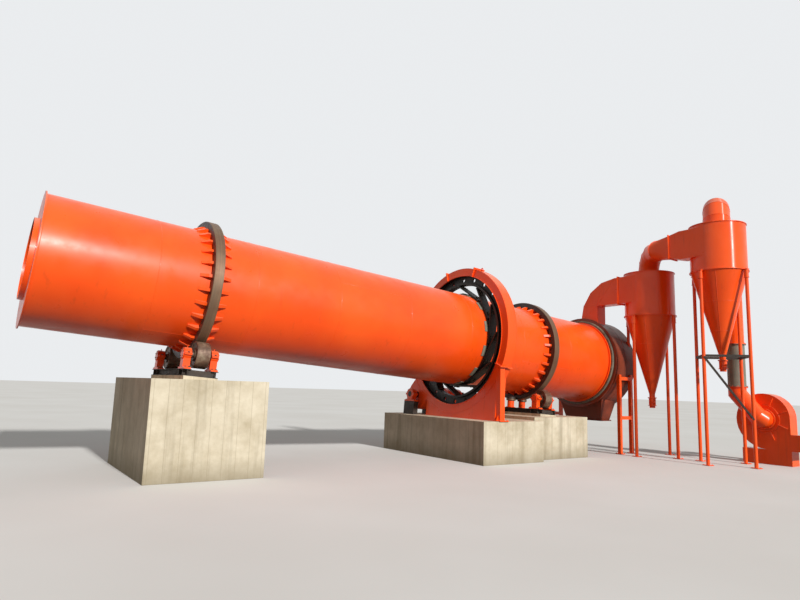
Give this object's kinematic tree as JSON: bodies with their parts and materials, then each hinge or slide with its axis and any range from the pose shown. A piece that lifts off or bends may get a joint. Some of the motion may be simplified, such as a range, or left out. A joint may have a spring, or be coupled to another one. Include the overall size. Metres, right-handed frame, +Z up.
{
  "type": "rotary drum dryer with two cyclones and exhaust fan",
  "caption": "Sloping rotary drum dryer on concrete piers, with riding rings, support rollers, girth gear drive, discharge hood, cyclones in series and fan.",
  "frame": {"origin": "on the ground, at the middle of the feed pier's foot, under the feed riding ring", "axes": "+X level, along the drum towards its discharge end, +Z up, and -Y the side with the cyclones"},
  "size_m": [18.4323, 7.8495, 7.3599],
  "materials": {
    "orange_shell": "semi-gloss",
    "orange_paint": "semi-gloss",
    "ring_steel": "rolled, oiled",
    "gear_steel": "greased",
    "grey_steel": "matt primer",
    "dark_steel": "primed, oily",
    "worn_steel": "worn",
    "motor_paint": "semi-gloss",
    "concrete": "board-marked"
  },
  "bodies": {
    "plant": {"bare_downcomer": "grey_steel", "crossover_duct": "orange_paint", "cyclone_1_barrel": "orange_paint", "cyclone_1_cone": "orange_paint", "cyclone_1_legs": "orange_paint", "cyclone_1_roof": "orange_paint", "cyclone_1_spout": "orange_paint", "cyclone_2_barrel": "orange_paint", "cyclone_2_brace": "dark_steel", "cyclone_2_cone": "orange_paint", "cyclone_2_legs": "orange_paint", "cyclone_2_roof": "orange_paint", "cyclone_2_spout": "orange_paint", "discharge_chute": "orange_paint", "discharge_hood": "orange_paint", "discharge_seal": "grey_steel", "drive_base": "dark_steel", "drive_motor": "motor_paint", "exhaust_duct": "orange_paint", "fan_base": "orange_paint", "fan_housing": "orange_paint", "fan_inlet": "orange_paint", "fan_motor": "motor_paint", "gear_guard_far": "orange_paint", "gear_guard_lower": "orange_paint", "gear_guard_near": "orange_paint", "gear_guard_post": "orange_paint", "gear_guard_top": "orange_paint", "hood_stand": "orange_paint", "pier_discharge": "concrete", "pier_drive": "concrete", "pier_feed": "concrete", "pinion_bearings": "orange_paint", "reducer": "orange_paint", "return_bend": "orange_paint", "roller_base_discharge": "dark_steel", "roller_base_feed": "dark_steel", "roller_bearings_discharge": "orange_paint", "roller_bearings_feed": "orange_paint", "thrust_roller_housings": "orange_paint"},
    "drum": {"shell_feed_course": "orange_shell", "shell_second_course": "orange_shell", "shell_gear_course": "orange_shell", "shell_discharge_course": "orange_shell", "feed_end_ring": "orange_paint", "discharge_collar": "orange_paint", "lifting_flights": "worn_steel", "riding_ring_feed": "ring_steel", "riding_ring_discharge": "ring_steel", "ring_chairs_feed": "orange_paint", "ring_chairs_discharge": "orange_paint", "girth_gear": "gear_steel", "gear_spring_plates": "gear_steel"},
    "support_roller_feed_near": {"support_roller_feed_near": "ring_steel"},
    "support_roller_feed_far": {"support_roller_feed_far": "ring_steel"},
    "support_roller_discharge_near": {"support_roller_discharge_near": "ring_steel"},
    "support_roller_discharge_far": {"support_roller_discharge_far": "ring_steel"},
    "thrust_roller_uphill": {"thrust_roller_uphill": "ring_steel"},
    "thrust_roller_downhill": {"thrust_roller_downhill": "ring_steel"},
    "pinion": {"pinion": "gear_steel"}
  },
  "joints": [
    {"name": "drum_turn", "type": "hinge", "parent": "plant", "child": "drum", "pos_m": [0, 0, 3.565], "axis": [0.9974, 0, -0.0715], "continuous": true},
    {"name": "support_roller_feed_near_turn", "type": "hinge", "parent": "plant", "child": "support_roller_feed_near", "pos_m": [-0.09742, -0.95403, 2.20599], "axis": [0.9974, 0, -0.0715], "continuous": true},
    {"name": "support_roller_feed_far_turn", "type": "hinge", "parent": "plant", "child": "support_roller_feed_far", "pos_m": [-0.09742, 0.95403, 2.20599], "axis": [0.9974, 0, -0.0715], "continuous": true},
    {"name": "support_roller_discharge_near_turn", "type": "hinge", "parent": "plant", "child": "support_roller_discharge_near", "pos_m": [9.30845, -0.95403, 1.53177], "axis": [0.9974, 0, -0.0715], "continuous": true},
    {"name": "support_roller_discharge_far_turn", "type": "hinge", "parent": "plant", "child": "support_roller_discharge_far", "pos_m": [9.30845, 0.95403, 1.53177], "axis": [0.9974, 0, -0.0715], "continuous": true},
    {"name": "thrust_roller_uphill_turn", "type": "hinge", "parent": "plant", "child": "thrust_roller_uphill", "pos_m": [9.08105, 0, 1.51047], "axis": [0.0715, 0, 0.9974], "continuous": true},
    {"name": "thrust_roller_downhill_turn", "type": "hinge", "parent": "plant", "child": "thrust_roller_downhill", "pos_m": [9.53049, 0, 1.47825], "axis": [0.0715, 0, 0.9974], "continuous": true},
    {"name": "pinion_turn", "type": "hinge", "parent": "plant", "child": "pinion", "pos_m": [7.01273, 1.52452, 1.53389], "axis": [0.9974, 0, -0.0715], "continuous": true}
  ],
  "couplings": [
    {"joint": "support_roller_feed_near_turn", "follows": "drum_turn", "ratio": -5.652},
    {"joint": "support_roller_feed_far_turn", "follows": "drum_turn", "ratio": -5.652},
    {"joint": "support_roller_discharge_near_turn", "follows": "drum_turn", "ratio": -5.652},
    {"joint": "support_roller_discharge_far_turn", "follows": "drum_turn", "ratio": -5.652},
    {"joint": "thrust_roller_uphill_turn", "follows": "drum_turn", "ratio": 10.6},
    {"joint": "thrust_roller_downhill_turn", "follows": "drum_turn", "ratio": -10.6},
    {"joint": "pinion_turn", "follows": "drum_turn", "ratio": -6}
  ]
}
